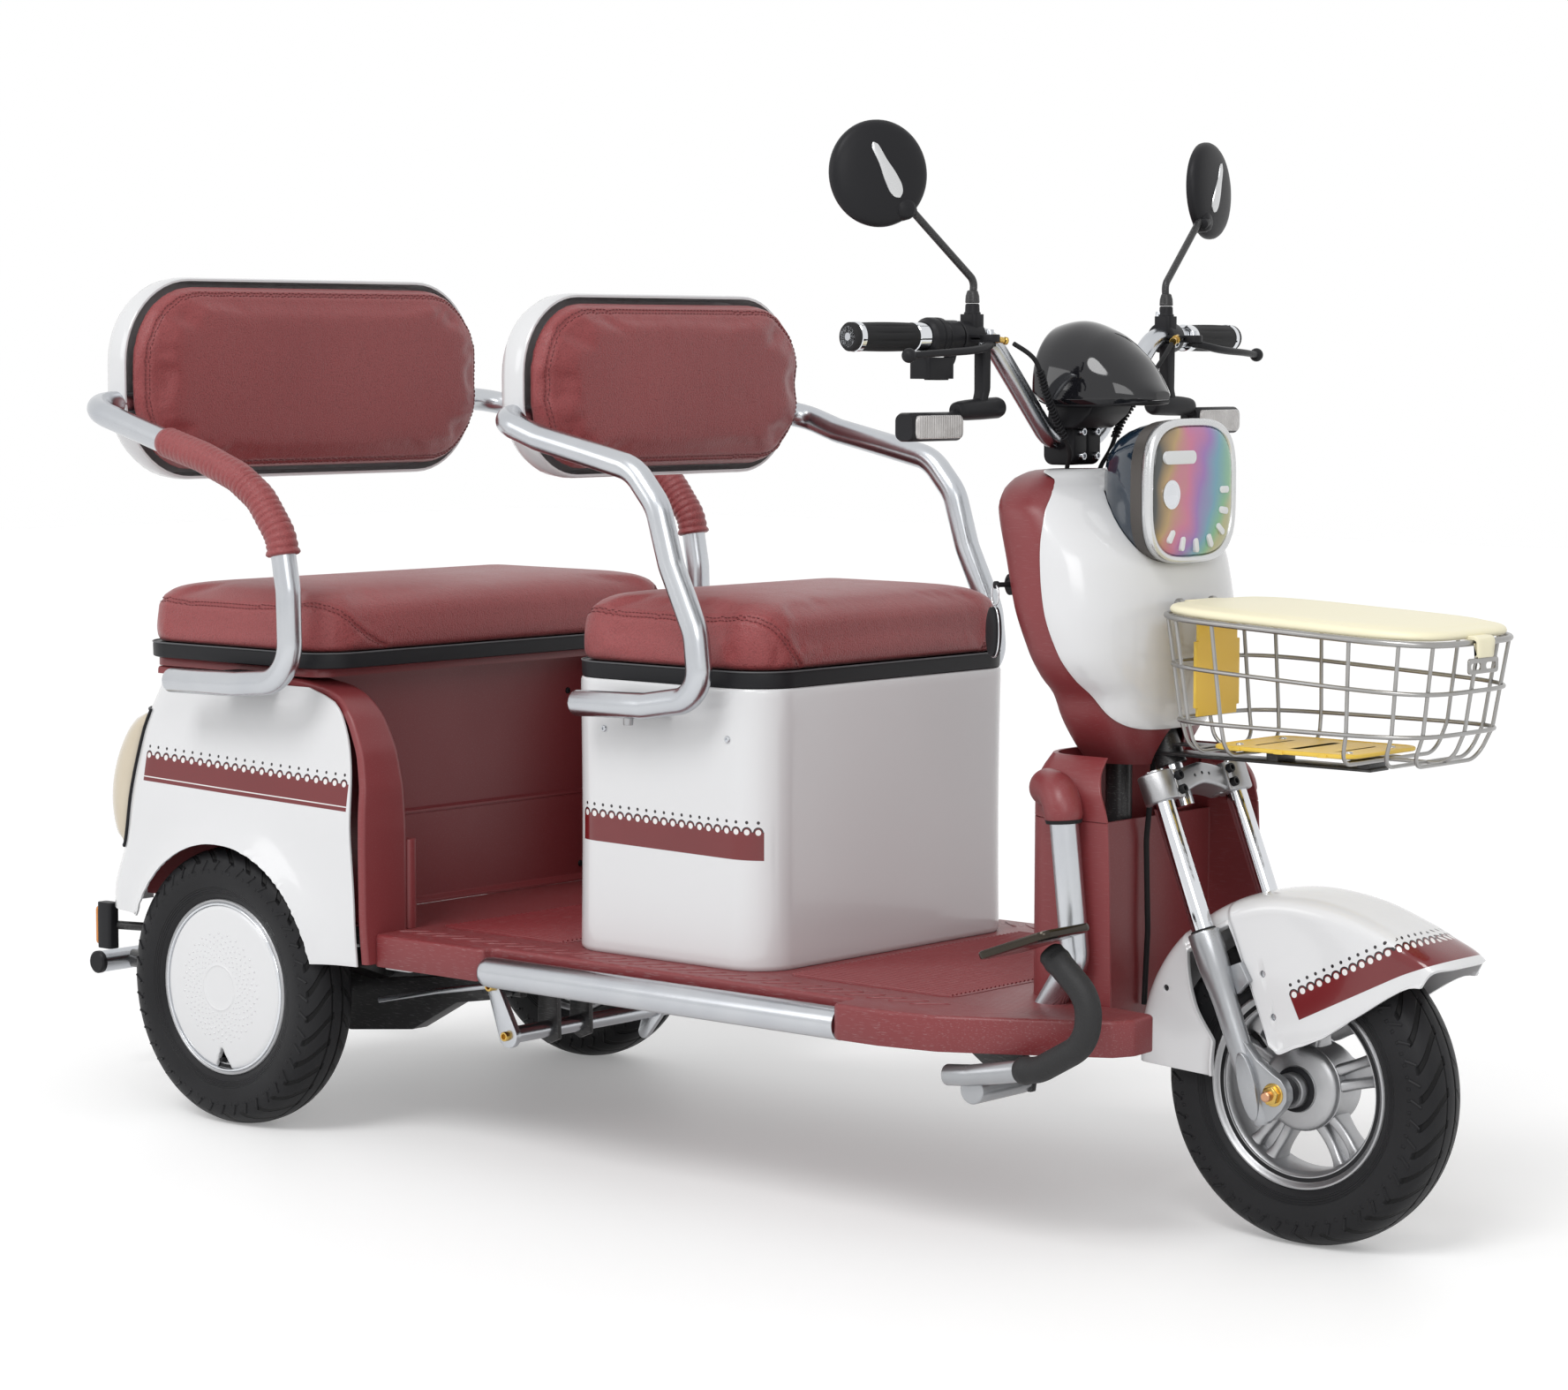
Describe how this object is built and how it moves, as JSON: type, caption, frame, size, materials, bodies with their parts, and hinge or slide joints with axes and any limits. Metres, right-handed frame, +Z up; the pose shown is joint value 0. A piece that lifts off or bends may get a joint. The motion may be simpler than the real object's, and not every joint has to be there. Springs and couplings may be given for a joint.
{
  "type": "electric tricycle",
  "caption": "Open electric passenger tricycle: one front wheel in a telescopic fork, driver's seat on a box, rear bench with armrests, leg shield, headlight and front basket.",
  "frame": {"origin": "bottom centre of the whole tricycle's bounding box, on the ground", "axes": "+X forward, +Y to the tricycle's left, +Z up"},
  "size_m": [2.1346, 0.831, 1.293],
  "materials": {
    "frame_paint": "semi-gloss black powder coat",
    "red_plastic": "moulded, fine grain",
    "white_plastic": "glossy moulded",
    "lamp_cream": "translucent lamp lens",
    "black_plastic": "satin black",
    "clear_lens": "clear moulded",
    "steel_wire": "satin",
    "yellow_plate": "satin",
    "pale_yellow": "satin",
    "red_leather": "grained leatherette",
    "battery_case": "matte",
    "cast_aluminium": "cast, satin",
    "chrome_tube": "polished",
    "tyre_rubber": "matt",
    "soft_rubber": "matt"
  },
  "bodies": {
    "chassis": {"frame": "frame_paint", "floor_pan": "red_plastic", "driver_box": "white_plastic", "rear_body": "red_plastic", "side_panel_right": "white_plastic", "side_panel_left": "white_plastic", "rear_panel": "white_plastic", "tail_lamp_right": "lamp_cream", "tail_lamp_left": "lamp_cream", "leg_shield": "red_plastic", "cowl_rear": "red_plastic", "cowl_front": "white_plastic", "headlight_housing": "black_plastic", "headlight_lens": "clear_lens", "basket_frame": "steel_wire", "basket_back_plate": "yellow_plate", "basket_floor_plate": "yellow_plate", "driver_hoop": "steel_wire", "rear_hoop": "steel_wire", "driver_back_shell": "white_plastic", "driver_back_cushion": "red_leather", "rear_back_shell": "white_plastic", "rear_back_cushion": "red_leather", "armrest_sleeve_right": "red_leather", "armrest_sleeve_left": "red_leather", "battery_pack": "battery_case", "shock_right": "steel_wire", "shock_left": "steel_wire"},
    "steering": {"fork_crown": "cast_aluminium", "stanchion_right": "chrome_tube", "stanchion_left": "chrome_tube", "handlebar": "steel_wire", "dash_hood": "black_plastic", "perch_right": "black_plastic", "perch_left": "black_plastic", "grip_left": "soft_rubber", "cable_right": "soft_rubber", "cable_left": "soft_rubber"},
    "fork": {"fork_lower": "cast_aluminium", "front_fender": "white_plastic"},
    "front_wheel": {"front_tyre": "tyre_rubber", "front_rim": "cast_aluminium"},
    "throttle": {"throttle_grip": "soft_rubber"},
    "lever_right": {"lever_right": "black_plastic"},
    "lever_left": {"lever_left": "black_plastic"},
    "mirror_right": {"mirror_right": "black_plastic"},
    "mirror_left": {"mirror_left": "black_plastic"},
    "rear_swing": {"rear_axle": "frame_paint"},
    "rear_wheel_right": {"rear_tyre_right": "tyre_rubber", "rear_rim_right": "cast_aluminium", "wheel_cover_right": "white_plastic"},
    "rear_wheel_left": {"rear_tyre_left": "tyre_rubber", "rear_rim_left": "cast_aluminium", "wheel_cover_left": "white_plastic"},
    "driver_seat": {"driver_seat": "red_leather"},
    "rear_seat": {"rear_seat": "red_leather"},
    "basket_lid": {"basket_lid": "pale_yellow"},
    "brake_pedal": {"brake_pedal": "black_plastic"},
    "brake_shaft": {"brake_shaft": "steel_wire"},
    "ignition_key": {"ignition_key": "black_plastic"}
  },
  "joints": [
    {"name": "steering_turn", "type": "hinge", "parent": "chassis", "child": "steering", "pos_m": [0.65502, 0, 0.515], "axis": [-0.3746, 0, 0.9272], "range_deg": [-25, 25]},
    {"name": "fork_travel", "type": "slide", "parent": "steering", "child": "fork", "axis": [-0.3746, 0, 0.9272], "range_m": [0, 0.035], "stiffness_N_per_m": 9000, "springref_m": -0.055},
    {"name": "front_wheel_spin", "type": "hinge", "parent": "fork", "child": "front_wheel", "pos_m": [0.84702, 0, 0.18441], "axis": [0, 1, 0], "continuous": true},
    {"name": "throttle_twist", "type": "hinge", "parent": "steering", "child": "throttle", "pos_m": [0.47946, -0.255, 1.047], "axis": [-0.149, -0.9888, 0], "range_deg": [0, 60], "stiffness_Nm_per_rad": 0.2, "springref_deg": -17.19},
    {"name": "lever_right_pull", "type": "hinge", "parent": "steering", "child": "lever_right", "pos_m": [0.52502, -0.205, 1.035], "axis": [0, 0, -1], "range_deg": [0, 14], "stiffness_Nm_per_rad": 1, "springref_deg": -11.46},
    {"name": "lever_left_pull", "type": "hinge", "parent": "steering", "child": "lever_left", "pos_m": [0.52502, 0.205, 1.035], "axis": [0, 0, 1], "range_deg": [0, 14], "stiffness_Nm_per_rad": 1, "springref_deg": -11.46},
    {"name": "mirror_right_turn", "type": "hinge", "parent": "steering", "child": "mirror_right", "pos_m": [0.49152, -0.195, 1.09], "axis": [0, 0, 1], "range_deg": [-20, 20]},
    {"name": "mirror_left_turn", "type": "hinge", "parent": "steering", "child": "mirror_left", "pos_m": [0.49152, 0.195, 1.09], "axis": [0, 0, 1], "range_deg": [-20, 20]},
    {"name": "rear_suspension", "type": "hinge", "parent": "chassis", "child": "rear_swing", "pos_m": [-0.28498, 0, 0.2], "axis": [0, 1, 0], "range_deg": [0, 4.2], "stiffness_Nm_per_rad": 4000, "springref_deg": -3.44, "deforming": ["shock_right", "shock_left"]},
    {"name": "rear_wheel_right_spin", "type": "hinge", "parent": "rear_swing", "child": "rear_wheel_right", "pos_m": [-0.62498, -0.335, 0.18441], "axis": [0, 1, 0], "continuous": true},
    {"name": "rear_wheel_left_spin", "type": "hinge", "parent": "rear_swing", "child": "rear_wheel_left", "pos_m": [-0.62498, 0.335, 0.18441], "axis": [0, 1, 0], "continuous": true},
    {"name": "driver_seat_lift", "type": "hinge", "parent": "chassis", "child": "driver_seat", "pos_m": [0.22602, 0, 0.6223], "axis": [0, 1, 0], "range_deg": [0, 75]},
    {"name": "rear_seat_lift", "type": "hinge", "parent": "chassis", "child": "rear_seat", "pos_m": [-0.45698, 0, 0.6148], "axis": [0, 1, 0], "range_deg": [0, 70]},
    {"name": "basket_lid_lift", "type": "hinge", "parent": "chassis", "child": "basket_lid", "pos_m": [0.67962, 0, 0.7381], "axis": [0, -1, 0], "range_deg": [0, 70]},
    {"name": "brake_pedal_press", "type": "hinge", "parent": "chassis", "child": "brake_pedal", "pos_m": [0.58802, -0.312, 0.19], "axis": [0, 1, 0], "range_deg": [0, 12], "stiffness_Nm_per_rad": 12, "springref_deg": -8.59},
    {"name": "brake_shaft_turn", "type": "hinge", "parent": "chassis", "child": "brake_shaft", "pos_m": [-0.22498, 0, 0.148], "axis": [0, 1, 0], "range_deg": [-0.5, 7]},
    {"name": "ignition_turn", "type": "hinge", "parent": "chassis", "child": "ignition_key", "pos_m": [0.51165, -0.14564, 0.758], "axis": [-0.4202, -0.9074, 0], "range_deg": [0, 45]}
  ],
  "couplings": [
    {"joint": "brake_shaft_turn", "follows": "brake_pedal_press", "ratio": 0.5}
  ]
}
